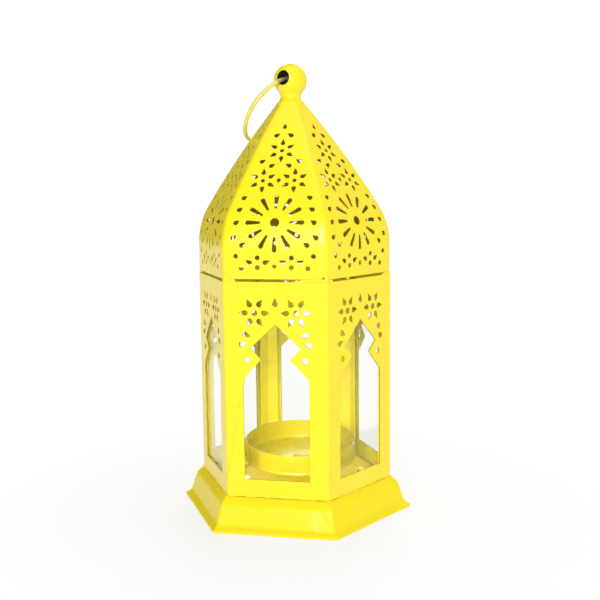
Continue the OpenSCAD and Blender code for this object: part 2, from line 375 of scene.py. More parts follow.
enamel = enamel_material(
    "enamel", (0.93, 0.765, 0.010), (0.92, 0.745, 0.009), (0.66, 0.50, 0.02),
    roughness=0.26, coat=0.14, peel=0.05)
base_enamel = enamel_material(
    "base_enamel", (0.92, 0.745, 0.010), (0.91, 0.73, 0.009), (0.66, 0.50, 0.02),
    roughness=0.24, coat=0.1, peel=0.05, ior=1.25)
wall_inside = enamel_material(
    "wall_inside", (0.92, 0.80, 0.014), (0.87, 0.74, 0.012), (0.42, 0.31, 0.02),
    roughness=0.4, coat=0.15, peel=0.2)
# A darker copy of the enamel for the insides of the dome and base: painted shade for the shaded interior.
shaded_inside_enamel = enamel_material(
    "shaded_inside_enamel", (0.44, 0.33, 0.02), (0.36, 0.26, 0.02), (0.30, 0.22, 0.02),
    roughness=0.42, coat=0.15, peel=0.2)
# Cut edges, rims and hole sides: thin paint over the edge, darkened further as painted shade.
thin_and_shaded_edge_enamel = enamel_material(
    "thin_and_shaded_edge_enamel", (0.46, 0.36, 0.02), (0.33, 0.25, 0.02), (0.18, 0.13, 0.02),
    roughness=0.45, coat=0.1, peel=0.3)
strip_enamel = enamel_material(
    "strip_enamel", (0.92, 0.80, 0.015), (0.86, 0.73, 0.015), (0.4, 0.3, 0.02),
    roughness=0.32, coat=0.3, peel=0.35)
floor_enamel = enamel_material(
    "floor_enamel", (0.80, 0.68, 0.012), (0.76, 0.63, 0.012), (0.3, 0.22, 0.02),
    roughness=0.6, coat=0, peel=0.2)
# A darker copy of the enamel for the cup and rivet: painted shade that tones down the cup inside the
# lantern.
shaded_holder_enamel = enamel_material(
    "shaded_holder_enamel", (0.69, 0.58, 0.008), (0.65, 0.54, 0.008), (0.5, 0.4, 0.02),
    roughness=0.28, coat=0.25, peel=0.1)
# A lighter, paler copy of the enamel for the lugs: a painted highlight on them.
lit_lug_enamel = enamel_material(
    "lit_lug_enamel", (0.95, 0.78, 0.05), (0.90, 0.70, 0.03), (0.6, 0.48, 0.02),
    roughness=0.18, coat=0.6, peel=0.1)
# Bare steel in the ball's bore, darkened to near black: partly painted shade inside the hole.
shaded_bore_steel = metal_material("shaded_bore_steel", (0.06, 0.06, 0.055), (0.012, 0.012, 0.010), 0.5)


def glass_material():
    """Clear window glass that lets light through to what stands behind it."""
    material, tree, shader = new_material("window_glass")
    at = object_coordinates(tree)
    smears = add_noise(tree, at, 55, 4, 0.6)
    set_inputs(tree, shader, {
        "Base Color": (0.985, 0.985, 0.975), "Transmission Weight": 1, "IOR": 1.25,
        "Roughness": add_range(tree, smears, 0.45, 0.75, 0.0, 0.06),
    })
    ripple = add_noise(tree, at, 32, 1, 0.3)
    add_bumps(tree, shader, [(ripple, 0.06, 0.0005)])
    clear = tree.nodes.new("ShaderNodeBsdfTransparent")
    set_inputs(tree, clear, {"Color": (0.96, 0.98, 0.965)})
    path = tree.nodes.new("ShaderNodeLightPath")
    add_shader_mix(tree, path.outputs["Is Shadow Ray"], shader.outputs["BSDF"], clear.outputs["BSDF"])
    return material


def ground_edge_material():
    """The cut edge of a pane: greenish and frosted."""
    material, tree, shader = new_material("ground_glass_edge")
    clouds = add_noise(tree, object_coordinates(tree), 900, 4, 0.6)
    tone = add_ramp(tree, clouds, [(0.35, (0.45, 0.62, 0.55)), (0.6, (0.82, 0.9, 0.86))])
    set_inputs(tree, shader, {"Base Color": tone, "Roughness": 0.5, "Transmission Weight": 0.5})
    add_bumps(tree, shader, [(clouds, 0.6, 0.0002)])
    return material


glass = glass_material()
ground_edge = ground_edge_material()


# ---- Hole patterns. Points are (across, up), in widths of one side.

def circle_loop(centre, r, count=22):
    return arc(centre, r, 0, 360 - 360 / count, count - 1)


def drop_loop(round_at, tip_at, r):
    run = Vector(tip_at) - Vector(round_at)
    heading = math.degrees(math.atan2(run.y, run.x))
    lift = math.degrees(math.acos(r / run.length))
    return [tuple(tip_at)] + arc(round_at, r, heading + lift, heading + 360 - lift, 14)


def ray_loop(centre, angle, inner, outer, inner_r, outer_r):
    """A slot along angle, counted from straight up, round at both ends."""
    out = Vector((math.sin(math.radians(angle)), math.cos(math.radians(angle))))
    far = Vector(centre) + outer * out
    near = Vector(centre) + inner * out
    heading = 90 - angle
    return (arc(far, outer_r, heading - 92, heading + 92, 11)
            + arc(near, inner_r, heading + 92, heading + 268, 7))


def flower_loops(centre, angles, near, far, middle_r, drop_r):
    """A round hole, and drops about it that point outwards along the angles."""
    loops = [circle_loop(centre, middle_r)]
    for angle in angles:
        x, y = direction(angle)
        round_at = (centre[0] + near * x, centre[1] + near * y)
        tip_at = (centre[0] + far * x, centre[1] + far * y)
        loops.append(drop_loop(round_at, tip_at, drop_r))
    return loops


def mirrored(loops):
    return loops + [[(-x, y) for x, y in loop] for loop in loops]


def wall_holes():
    """The keyhole window, with a flower, two drops and a hole on each side of it, and a drop above."""
    window_half = [(0.32, -1.92), (0.32, -0.93), (0.14, -0.74), (0.245, -0.635), (0, -0.4)]
    window = window_half + [(-x, y) for x, y in window_half[3::-1]]
    half = flower_loops((0.2, -0.295), [60 * k for k in range(6)], 0.092, 0.148, 0.028, 0.026)
    half.append(drop_loop((0.294, -0.5), (0.24, -0.522), 0.027))
    half.append(drop_loop((0.328, -0.6), (0.272, -0.575), 0.027))
    half.append(circle_loop((0.281, -0.75), 0.029))
    return [window, drop_loop((0, -0.21), (0, -0.15), 0.025)] + mirrored(half)


def petal_holes():
    """The sun in the middle, flowers above it, and drops and holes all round."""
    sun = (0, 0.533)
    loops = [circle_loop(sun, 0.043, 28)]
    loops += [ray_loop(sun, 30 * k, 0.15, 0.26, 0.011, 0.021) for k in range(12)]
    edge_drops = [
        ((0.236, 0.155), (0.277, 0.178)), ((0.089, 0.156), (0.045, 0.176)),
        ((0.311, 0.318), (0.276, 0.343)), ((0.396, 0.387), (0.362, 0.412)),
        ((0.374, 0.53), (0.34, 0.553)), ((0.35, 0.66), (0.315, 0.682)),
        ((0.318, 0.783), (0.283, 0.803)), ((0.088, 1.131), (0.05, 1.153)),
        ((0.185, 1.18), (0.147, 1.199)), ((0.074, 1.478), (0.035, 1.503)),
    ]
    edge_dots = [(0.371, 0.216), (0.163, 0.202), (0.162, 0.11), (0.318, 0.102)]
    edge_r = 0.022
    half = [drop_loop(round_at, tip_at, edge_r) for round_at, tip_at in edge_drops]
    half += [circle_loop(centre, edge_r) for centre in edge_dots]
    flower = ([90 - 60 * k for k in range(6)], 0.084, 0.133, 0.019, 0.021)
    loops += mirrored(half + flower_loops((0.153, 0.97), *flower)) + flower_loops((0, 1.302), *flower)
    middle_drops = [(0.122, 0.156), (0.975, 0.943), (1.576, 1.617)]
    loops += [drop_loop((0, round_at), (0, tip_at), 0.019) for round_at, tip_at in middle_drops]
    return loops


def in_millimetres(loops):
    return [[(x * side_w, y * side_w) for x, y in loop] for loop in loops]


# ---- Sheets of the body and dome

SKIRT = 0.28 * side_w
SHOULDER_R = 0.8 * side_w
SLOPE_R = 9 * side_w
SHOULDER_TURN = math.radians(28.5)
SLOPE_TURN = math.radians(7.5)
SHOULDER_END = SKIRT + SHOULDER_R * SHOULDER_TURN
PETAL_LENGTH = SHOULDER_END + SLOPE_R * SLOPE_TURN
EDGE_LIP = 0.15
# Places of a sheet's three materials in its list
FACE, BACK, EDGE = 0, 1, 2


def petal_lean(s):
    if s < SKIRT:
        return 0.0
    if s < SHOULDER_END:
        return (s - SKIRT) / SHOULDER_R
    return SHOULDER_TURN + (s - SHOULDER_END) / SLOPE_R


def petal_point(s):
    """Distance from the axis and height of a petal's face, s along it from its foot."""
    if s < SKIRT:
        return flat_r, dome_foot + s
    shoulder = (flat_r - SHOULDER_R, dome_foot + SKIRT)
    lean = petal_lean(s)
    if s < SHOULDER_END:
        return shoulder[0] + SHOULDER_R * math.cos(lean), shoulder[1] + SHOULDER_R * math.sin(lean)
    slope = (shoulder[0] + (SHOULDER_R - SLOPE_R) * math.cos(SHOULDER_TURN),
             shoulder[1] + (SHOULDER_R - SLOPE_R) * math.sin(SHOULDER_TURN))
    return slope[0] + SLOPE_R * math.cos(lean), slope[1] + SLOPE_R * math.sin(lean)


def bend_petal(x, s, depth):
    r, z = petal_point(s)
    lean = petal_lean(s)
    return Vector((x, -r + depth * math.cos(lean), z - depth * math.sin(lean)))


def bend_wall(x, s, depth):
    return Vector((x, -flat_r + depth, wall_top + s))


def round_corners(bm, depth_layer, ridge_r, fold_wide, fold_narrow, fold_turn, foot_z, top_z):
    """Rounds a sheet over its two mitred sides, and turns a narrow band along each side slightly inwards."""
    for v in bm.verts:
        depth = v[depth_layer]
        side = 1 if v.co.x > 0 else -1
        x, y = abs(v.co.x), -v.co.y
        t = y * TAN30 - x
        share = min(1, max(0, (v.co.z - foot_z) / (top_z - foot_z)))
        fold = fold_wide + (fold_narrow - fold_wide) * share
        if fold_turn and t < fold + 0.5:
            soft = 0.5
            over = fold - t
            sink = math.tan(fold_turn) * (over if over > soft else (over + soft) ** 2 / (4 * soft))
            x -= sink * TAN30 * min(1, max(0, 1 - t / fold))
            y -= sink
        middle = (y + depth) * TAN30 - ridge_r * TAN30
        reach = y * TAN30 - middle
        if x > middle and reach > 0:
            phi = math.radians(30) * min(1, (x - middle) / reach)
            y -= (ridge_r - depth) * (1 - math.cos(phi))
            x = middle + (y * TAN30 - middle) * math.sin(phi) / 0.5
        v.co.x, v.co.y = side * x, -y


def bent_sheet(outline, holes, bend, s_steps, ridge_r, fold):
    """Cuts, bends, mitres and rounds one sheet of the front side."""
    bm = flat_sheet(outline, holes, sheet_t, EDGE_LIP)
    for s in s_steps:
        slice_mesh(bm, (0, s, 0), (0, 1, 0))
    depth_layer = bm.verts.layers.float.new("depth")
    for v in bm.verts:
        v[depth_layer] = -v.co.z
        v.co = bend(v.co.x, v.co.y, -v.co.z)
    low_z = min(v.co.z for v in bm.verts)
    high_z = max(v.co.z for v in bm.verts)
    for side in (-1, 1):
        normal = Vector((side * COS30, 0.5, 0))
        trim_mesh(bm, (0, 0, 0), normal)
        for share in (0.2, 0.45, 0.72, 1):
            inwards = share * ridge_r * TAN30 * COS30
            slice_mesh(bm, -inwards * normal, normal)
        if fold:
            wide, narrow = fold[0] * COS30, fold[1] * COS30
            lean = (wide - narrow) / (high_z - low_z)
            for shift in (-0.5, 0, 0.5):
                at = Vector((0, 0, low_z)) - (wide + shift) * normal
                slice_mesh(bm, at, (normal.x, normal.y, -lean))
    round_corners(bm, depth_layer, ridge_r, *(fold or (1, 1, 0)), low_z, high_z)
    return bm


def paint_sheet(bm):
    """Gives the sheet's face, its back and its cut edges their materials."""
    depth_layer = bm.verts.layers.float["depth"]
    for face in bm.faces:
        depths = [v[depth_layer] for v in face.verts]
        if min(depths) > sheet_t - 0.02:
            face.material_index = BACK
        elif max(depths) < EDGE_LIP * 0.75:
            face.material_index = FACE
        else:
            face.material_index = EDGE


def uneven(bm, seed, amount):
    """Presses slight dents and waves into a sheet, fading out towards its sides."""
    for v in bm.verts:
        t = -v.co.y * TAN30 - abs(v.co.x)
        fade = min(1, max(0, (t - 1.5) / 6))
        wave = noise.noise(Vector((v.co.x / 19 + seed * 7.3, v.co.z / 24, seed * 1.7)))
        v.co.y += amount * (wave - 0.25) * fade


def build_walls():
    overlap, ridge_r, foot_lift = 1.5, 1.5, 0.26
    half = flat_r * TAN30 + overlap
    height = wall_top - wall_foot
    levels = [-height * k / 14 for k in range(1, 14)]
    holes = in_millimetres(wall_holes())
    for i in SIDES:
        # The foot of each wall lifts off the base here and there
        foot = []
        for k in range(67):
            x = -19.8 + 0.6 * k
            open_here = noise.noise(Vector((x * 0.24, i * 5.3, 0.4))) + 0.12
            foot.append((x, -height + foot_lift * min(1, max(0, open_here / 0.12))))
        outline = [(-half, -height)] + foot + [(half, -height), (half, 0), (-half, 0)]
        bm = bent_sheet(outline, holes, bend_wall, levels, ridge_r, None)
        paint_sheet(bm)
        uneven(bm, i, 0.14)
        turn(bm, i)
        paints = [enamel, wall_inside, thin_and_shaded_edge_enamel]
        make_object(f"wall_{i}", bm, SHELL, paints, [f"wall_panel_{i}"])


def build_petals():
    """Six petals bent from one sheet. The front one has a nick in its foot, near its right corner."""
    overlap, ridge_r = 1.5, 1.6
    stations = [0, SKIRT] + [SKIRT + (PETAL_LENGTH - SKIRT) * k / 12 for k in range(1, 13)]
    edge = [(petal_point(s)[0] * TAN30 + overlap, s) for s in stations]
    outline = [(x, s) for x, s in edge] + [(-x, s) for x, s in reversed(edge)]
    nick = [(0.44 * side_w, 0), (0.462 * side_w, 0.026 * side_w), (0.486 * side_w, 0)]
    levels = [4, 8] + [SKIRT + (SHOULDER_END - SKIRT) * k / 16 for k in range(17)]
    levels += [SHOULDER_END + (PETAL_LENGTH - SHOULDER_END) * k / 20 for k in range(1, 20)]
    holes = in_millimetres(petal_holes())
    # The band turned in along each side: its width at the foot and at the tip, and its angle
    fold = (4.4, 1.6, math.radians(3.6))
    sheet = bent_sheet(outline, holes, bend_petal, levels, ridge_r, fold)
    paint_sheet(sheet)
    nicked = bent_sheet(outline + nick, holes, bend_petal, levels, ridge_r, fold)
    paint_sheet(nicked)
    for i in SIDES:
        bm = (nicked if i == 1 else sheet).copy()
        uneven(bm, i + 10, 0.12)
        turn(bm, i)
        paints = [enamel, shaded_inside_enamel, thin_and_shaded_edge_enamel]
        make_object(f"petal_{i}", bm, SHELL, paints, [f"dome_petal_{i}"])
    sheet.free()
    nicked.free()


# ---- Base

BASE_SHEET = 0.8
SHOULDER_FILLET = 6.5
SHOULDER_START = 65
SKIRT_LEAN = 16
SKIRT_FOOT_Z = 3.4
TOE_FILLET = 2.4
LIP_T = 1.35
lip_edge = -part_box("base_side_1")[0].y / MM


def base_section():
    """Outer and inner lines of the base's section, from the walls down to the lip."""
    start = direction(SHOULDER_START)
    shoulder = (flat_r - SHOULDER_FILLET * start[0], wall_foot - SHOULDER_FILLET * start[1])
    out = direction(SKIRT_LEAN)
    top = (shoulder[0] + SHOULDER_FILLET * out[0], shoulder[1] + SHOULDER_FILLET * out[1])
    run = (top[1] - SKIRT_FOOT_Z) / math.cos(math.radians(SKIRT_LEAN))
    down = direction(SKIRT_LEAN - 90)
    foot = (top[0] + run * down[0], top[1] + run * down[1])
    toe = (foot[0] + TOE_FILLET * out[0], foot[1] + TOE_FILLET * out[1])
    outside = [(inner_flat_r + 0.05, wall_foot - 0.02)]
    outside += arc(shoulder, SHOULDER_FILLET, SHOULDER_START, SKIRT_LEAN, 14)
    for k in range(1, 4):
        outside.append((top[0] + (foot[0] - top[0]) * k / 4, top[1] + (foot[1] - top[1]) * k / 4))
    outside += arc(toe, TOE_FILLET, 180 + SKIRT_LEAN, 258, 9)
    outside += [
        (lip_edge - 0.55, LIP_T - 0.02), (lip_edge - 0.2, LIP_T * 0.9), (lip_edge - 0.04, LIP_T * 0.68),
        (lip_edge, LIP_T * 0.45), (lip_edge - 0.06, 0.25), (lip_edge - 0.25, 0.08), (lip_edge - 0.5, 0),
    ]
    inside = [(toe[0] - 0.6, 0)]
    inside += arc(toe, TOE_FILLET + BASE_SHEET, 240, 180 + SKIRT_LEAN, 5)
    inside += arc(shoulder, SHOULDER_FILLET - BASE_SHEET, SKIRT_LEAN, SHOULDER_START, 8)
    inside += [(inner_flat_r + 0.05, wall_foot - BASE_SHEET)]
    return outside, inside


def build_base():
    """The formed sides, slightly uneven, rolled in at their ends, and dented at the front right corner."""
    outside, inside = base_section()
    loop = outside + inside
    gap, middle_from = 0.05, 7
    dented = (1, "right")
    # Columns of points: those near a corner by their distance from it, the rest by their share of the middle
    near = [0, 0.12, 0.3, 0.55, 0.9, 1.6, 2.4, 3.2, 4.1, 5, 6, 7, 8, 9]
    middle = [k / 12 for k in range(-10, 11, 2)]
    stations = [("left", t) for t in near] + [("mid", f) for f in middle]
    stations += [("right", t) for t in reversed(near)]
    for i in SIDES:
        bm = bmesh.new()
        columns = []
        for kind, value in stations:
            column = []
            for n, (r, z) in enumerate(loop):
                half = r * TAN30 - gap
                x = {"left": -half + value, "right": half - value, "mid": value * (half - middle_from)}[kind]
                t = half - abs(x)
                wave = noise.noise(Vector((x / 16, i * 3.1, z / 9)))
                fade = min(1, t / 8)
                r_here = r + 0.13 * (wave - 0.45) * fade * (1 if n > 2 else 0)
                if dented == (i, kind) and t < 9 and 2 < n < len(outside) - 7:
                    dent = noise.noise(Vector((x / 1.7, z / 3.4, 2.2)))
                    r_here += 0.2 * (dent - 0.2) * math.sin(math.pi * t / 9)
                if n < len(outside) and t < 0.7:
                    r_here -= 0.32 * (1 - t / 0.7) ** 2
                column.append(bm.verts.new((x, -r_here, z)))
            columns.append(column)
        for a, b in zip(columns, columns[1:]):
            for k, face in enumerate(bridge(bm, a, b)):
                face.material_index = FACE if k < len(outside) - 1 else BACK
        for column in (columns[0], columns[-1]):
            bm.faces.new(column).material_index = EDGE
        turn(bm, i)
        paints = [base_enamel, shaded_inside_enamel, thin_and_shaded_edge_enamel]
        make_object(f"base_{i}", bm, SHELL, paints, [f"base_side_{i}"])


def lump(roughness, grain, seed, size):
    """A ball with an uneven surface, stretched to size."""
    bm = bmesh.new()
    bmesh.ops.create_icosphere(bm, subdivisions=3, radius=1)
    for v in bm.verts:
        v.co *= 1 + roughness * noise.noise(v.co * grain + Vector(seed))
        v.co *= Vector(size)
    return bm


def seam_beads():
    """Uneven runs of solder along the base's six corners, and a blob at the top of each."""
    path = base_section()[0][2:-7]
    made = bmesh.new()
    for k in range(6):
        points, radii = [], []
        shift = {5: 0.45, 4: -0.1}.get(k, 0.0)
        thin = 0.34 if k == 5 else 1
        for n, (r, z) in enumerate(path):
            share = n / (len(path) - 1)
            corner_r = r / COS30 - 0.42
            wobble = noise.noise(Vector((n * 0.45, k * 5.0, 0)))
            points.append((corner_r, shift + 0.12 * wobble, z - 0.05))
            ends = min(1, 0.25 + 5 * share, 0.3 + 4 * (1 - share))
            radii.append(thin * (0.50 + 0.14 * wobble) * ends)
        bead = tube(points, radii, 12, 0.8, up=(0.3, 0, 1))
        append_mesh(made, bead, turned_to(k + 1))
        blob = lump(0.16, 1.3, (k * 3, 0, 0), (0.72, 1.05, 0.6))
        blob.transform(Matrix.Translation((side_w + 0.42, shift, wall_foot - 0.1)))
        append_mesh(made, blob, turned_to(k + 1))
    make_object("base_seams", made, SHELL, [base_enamel], ["base_solder"], 60)


def slit_fill():
    """Solder in the slit between walls and dome. It closes the corners and tapers off along each side."""
    slit = dome_foot - wall_top
    half = flat_r * TAN30
    steps = 14
    # How far it reaches in from each side's left and right corners, in widths of a side
    closed = [(0.12, 0.33), (0.085, 0.15), (0.1, 0.12), (0.14, 0.09), (0.1, 0.16), (0.05, 0.03)]
    made = bmesh.new()
    for i in SIDES:
        for side in (-1, 1):
            reach = closed[i - 1][0 if side < 0 else 1] * side_w
            rows = []
            part = bmesh.new()
            for n in range(steps + 1):
                share = n / steps
                x = half - 0.02 - share * reach
                taper = min(1, (1 - share) * (9 if side < 0 else 3.2))
                top = slit * (0.93 if share > 0.35 else 1.12) * max(0.12, taper)
                sunk = 0.2 + 0.15 * noise.noise(Vector((x * 0.5, i * 2.0, side)))
                front, back = sunk - flat_r, sheet_t + 0.25 - flat_r
                ring = [(front, -0.3), (front - 0.05, top / 2), (front, top), (back, top), (back, -0.3)]
                rows.append([part.verts.new((side * min(x, -y * TAN30), y, wall_top + z)) for y, z in ring])
            for a, b in zip(rows, rows[1:]):
                bridge(part, a, b)
            part.faces.new(rows[0])
            part.faces.new(rows[-1])
            append_mesh(made, part, turned_to(i))
        if i in (2, 5):
            plug = lump(0.15, 1.4, (i, 0, 0), (1.3, 0.32, slit / 2))
            plug.transform(Matrix.Translation((-0.18 * side_w, 0.5 - flat_r, wall_top + slit / 2)))
            append_mesh(made, plug, turned_to(i))
    make_object("slit_solder", made, SHELL, [enamel], ["dome_solder"], 60)


# ---- Finial and ring

hole_centre = Vector(joints["ring_swing"]["pos_m"]) / MM
BALL_R = 7.5
BALL_HOLE_R = 3.1
ball_z = node_box("finial")[1].z - BALL_R
NECK_R = 0.102 * side_w
NECK_LOW_FILLET = 4.2
NECK_DROP = 7.3
dome_tip_r = petal_point(PETAL_LENGTH)[0]


def finial_body():
    """The turned neck and ball. The neck's foot is pressed out towards the dome's six corners."""
    foot = node_box("finial")[0].z
    neck_z = ball_z - NECK_DROP
    top_fillet = (NECK_R ** 2 + NECK_DROP ** 2 - BALL_R ** 2) / (2 * (BALL_R - NECK_R))
    meet = math.degrees(math.atan2(NECK_DROP, NECK_R + top_fillet))
    start = 180 + math.degrees(math.asin((neck_z - foot) / NECK_LOW_FILLET))
    profile = [(dome_tip_r + 0.35, foot - 0.32)]
    profile += arc((NECK_R + NECK_LOW_FILLET, neck_z), NECK_LOW_FILLET, start, 180, 12)
    profile += arc((NECK_R + top_fillet, neck_z), top_fillet, 180, 180 - meet, 9)[1:]
    profile += arc((0, ball_z), BALL_R, -meet, 88, 40)[1:]
    steps = 96
    bm = bmesh.new()
    rings = []
    for r, z in profile:
        hexness = min(1, max(0, 1 - (z - foot) / 3.2)) ** 1.6
        ring = []
        for k in range(steps):
            x, y = direction(360 * k / steps)
            off_middle = abs(30 - 360 * k / steps % 60)
            hex_r = min(dome_tip_r / math.cos(math.radians(off_middle)), dome_tip_r * 1.10)
            radius = r + (hex_r - r) * hexness
            ring.append(bm.verts.new((radius * x, radius * y, z)))
        rings.append(ring)
    for low, high in zip(rings, rings[1:]):
        bridge(bm, low, high)
    bm.faces.new(rings[0])
    top = bm.verts.new((0, 0, ball_z + BALL_R))
    for k in range(steps):
        bm.faces.new([rings[-1][k], rings[-1][(k + 1) % steps], top])
    return bm


def bore_cutter():
    """What the cross hole takes out of the ball: a bore with rounded rims."""
    rim = math.sqrt(BALL_R ** 2 - BALL_HOLE_R ** 2)
    wide = BALL_HOLE_R + 1.6
    flare = [
        (wide, rim + 1.4), (BALL_HOLE_R + 0.62, rim + 0.42), (BALL_HOLE_R + 0.34, rim + 0.05),
        (BALL_HOLE_R + 0.14, rim - 0.3), (BALL_HOLE_R + 0.03, rim - 0.7), (BALL_HOLE_R, rim - 1.2),
    ]
    profile = [(0, -2 * BALL_R), (wide, -2 * BALL_R)] + [(r, -z) for r, z in flare]
    profile += flare[::-1] + [(wide, 2 * BALL_R), (0, 2 * BALL_R)]
    bm = lathe(profile, 64, closed=False)
    # The bore's inner faces take the near-black steel, painted shade inside the hole.
    for face in bm.faces:
        inner = max(math.hypot(v.co.x, v.co.y) for v in face.verts) < BALL_HOLE_R + 0.05
        face.material_index = 1 if inner else 0
    axis = Vector(joints["ring_swing"]["axis"])
    turn_to = Vector((0, 0, 1)).rotation_difference(axis).to_matrix().to_4x4()
    bm.transform(Matrix.Translation(hole_centre) @ turn_to)
    bmesh.ops.recalc_face_normals(bm, faces=bm.faces)
    bm.transform(Matrix.Scale(MM, 4))
    mesh = new_mesh("bore", bm)
    for face in mesh.polygons:
        face.use_smooth = True
    mesh.materials.append(enamel)
    mesh.materials.append(shaded_bore_steel)
    return new_object("bore", mesh)


def build_finial():
    paints = [enamel, shaded_bore_steel, thin_and_shaded_edge_enamel]
    finial = make_object("finial_turned", finial_body(), SHELL, paints, ["finial"], 60)
    cutter = bore_cutter()
    cut = finial.modifiers.new("bore", "BOOLEAN")
    cut.operation = "DIFFERENCE"
    cut.object = cutter
    cut.solver = "EXACT"
    cut.material_mode = "TRANSFER"
    finial.modifiers.move(1, 0)
    bored = evaluated_mesh(finial)
    finial.modifiers.clear()
    finial.data = bored
    bpy.data.objects.remove(cutter)
    for polygon in bored.polygons:
        polygon.use_smooth = True
    bored.set_sharp_from_angle(angle=math.radians(50))


def build_ring():
    """The wire ring, with a groove round it where its ends meet."""
    ring_turn, ring_lean = 70, 53.7
    ring_r, wire_r = 16.8, 0.95
    ends_at, groove = math.radians(200), 0.03
    steps, sides = 160, 18
    bm = bmesh.new()
    rings = []
    for n in range(steps):
        a = 2 * math.pi * n / steps
        from_ends = (a - ends_at + math.pi) % (2 * math.pi) - math.pi
        r = wire_r * (1 - 0.22 * math.exp(-(from_ends / groove) ** 2)) - 0.03
        r += 0.02 * noise.noise(Vector((math.cos(a) * 3, math.sin(a) * 3, 0)))
        ring = []
        for k in range(sides):
            b = 2 * math.pi * k / sides
            reach = ring_r + r * math.cos(b)
            ring.append(bm.verts.new((reach * math.cos(a), reach * math.sin(a), r * math.sin(b))))
        rings.append(ring)
    for low, high in zip(rings, rings[1:] + rings[:1]):
        bridge(bm, low, high)
    place = (Matrix.Translation(hole_centre) @ Matrix.Rotation(math.radians(ring_turn), 4, "Z")
             @ Matrix.Rotation(math.radians(90 - ring_lean), 4, "X")
             @ Matrix.Translation((0, 0, -ring_r)) @ Matrix.Rotation(math.radians(90), 4, "X"))
    bm.transform(place)
    make_object("ring_wire", bm, RING, [ring_enamel], ["hanging_ring"], 60)


def worn_ring_material():
    """Enamel that thins to bare steel close to the ball."""
    material, tree, shader = new_material("ring_enamel")
    at = object_coordinates(tree)
    clouds = add_noise(tree, at, 420, 4, 0.6)
    away = add_vector_math(tree, "DISTANCE", at, hole_centre * MM)
    near = add_range(tree, away, 0.004, 0.013, 0.62, 0.0)
    worn = add_range(tree, add_math(tree, "ADD", near, clouds), 0.74, 0.86, 0, 1)
    mottle = add_noise(tree, at, 120, 3)
    tone = add_ramp(tree, mottle, [(0.35, (0.62, 0.57, 0.10)), (0.62, (0.78, 0.72, 0.12))])
    set_inputs(tree, shader, {
        "Base Color": add_mix(tree, worn, tone, (0.42, 0.39, 0.20)),
        "Roughness": add_range(tree, worn, 0, 1, 0.28, 0.4),
        "Metallic": add_range(tree, worn, 0, 1, 0.0, 0.5),
    })
    add_bumps(tree, shader, [(add_noise(tree, at, 700, 3), 0.3, 0.0001), (worn, 0.5, -0.00006)])
    return material


ring_enamel = worn_ring_material()


# ---- Glass, strips and floor

def build_panes():
    """The window panes, with chipped sides."""
    low, high = node_box("glass_pane_1")
    count = 26
    for i in SIDES:
        left, right = [], []
        for n in range(count + 1):
            z = low.z + (high.z - low.z) * n / count
            for side, points in ((-1, left), (1, right)):
                chip = max(0, noise.noise(Vector((z * 0.31, i * 4.0, side))) - 0.18) * 0.9
                points.append((side * (high.x - 0.05 - chip), z))
        bm = flat_sheet(left[::-1] + right, [], high.y - low.y, 0.1)
        for v in bm.verts:
            v.co = Vector((v.co.x, low.y - v.co.z, v.co.y))
        for face in bm.faces:
            face.material_index = 0 if abs(face.normal.y) > 0.9 or face.calc_area() > 30 else 1
        turn(bm, i)
        make_object(f"pane_{i}", bm, SHELL, [glass, ground_edge], [f"glass_pane_{i}"])


def build_strips():
    """Folded strips in the inside corners: a spine against the corner and a flange behind each pane."""
    pane_gap, tip_gap = 0.1, 0.6
    pane_low, pane_high = node_box("glass_pane_1")
    glass_t = pane_high.y - pane_low.y
    flange, strip_t, spine = 5.4, 0.5, 0.45
    back = inner_flat_r - 2 * pane_gap - glass_t
    tip = inner_flat_r / COS30 - tip_gap
    end = (back / COS30 + flange * direction(120)[0], flange * direction(120)[1])
    half = [(tip, spine), (back / COS30 - spine * TAN30, spine), end,
            (end[0] - strip_t * direction(30)[0], end[1] - strip_t * direction(30)[1])]
    outline = half + [((back - strip_t) / COS30, 0)] + [(x, -y) for x, y in reversed(half)]
    low, high = node_box("corner_strip_1")
    for i in SIDES:
        bm = flat_sheet(outline, [], high.z - low.z, 0.07)
        bmesh.ops.translate(bm, vec=(0, 0, high.z), verts=bm.verts)
        turn(bm, i - 1)
        make_object(f"strip_{i}", bm, SHELL, [strip_enamel], [f"corner_strip_{i}"])


holder_at = Vector(joints["lock_turn"]["pos_m"]) / MM
LUG_ANGLES = (12, 218)


def build_floor():
    """The floor plate, with the holder's round opening and its two notches for the lugs."""
    low, high = node_box("floor_plate")
    hole_r, notch_reach, notch_w = 28.2, 32, 7.5
    corner = (inner_flat_r - 0.05) / COS30
    outline = [(corner * direction(60 * k)[0], corner * direction(60 * k)[1]) for k in range(6)]
    notch_half = math.degrees(math.asin(notch_w / 2 / hole_r))
    loop = []
    for n, lug in enumerate(LUG_ANGLES):
        following = LUG_ANGLES[(n + 1) % 2] + (360 if n == 1 else 0)
        for side in (-notch_w / 2, notch_w / 2):
            loop.append(notch_reach * Vector(direction(lug)) + side * Vector(direction(lug + 90)))
        loop += arc((0, 0), hole_r, lug + notch_half, following - notch_half, 40)
    loop = [(x + holder_at.x, y + holder_at.y) for x, y in loop]
    bm = flat_sheet(outline, [loop], high.z - low.z, 0.14)
    bmesh.ops.translate(bm, vec=(0, 0, high.z), verts=bm.verts)
    make_object("floor_sheet", bm, SHELL, [floor_enamel], ["floor_plate"])


# ---- Candle holder

CUP_R, CUP_H, CUP_SHEET = 25.4, 9.4, 0.6
CUP_LEAN, CUP_TURN = 4, 11.5
LOCK_SHEET = 0.8
CUP_FLOOR_Z = wall_foot + 7.2
SEAT_R, SEAT_DROP = 4.4, 0.25
cup_place = (Matrix.Translation((holder_at.x, holder_at.y, CUP_FLOOR_Z))
             @ Matrix.Rotation(math.radians(CUP_TURN), 4, "Z")
             @ Matrix.Rotation(math.radians(CUP_LEAN), 4, "X"))


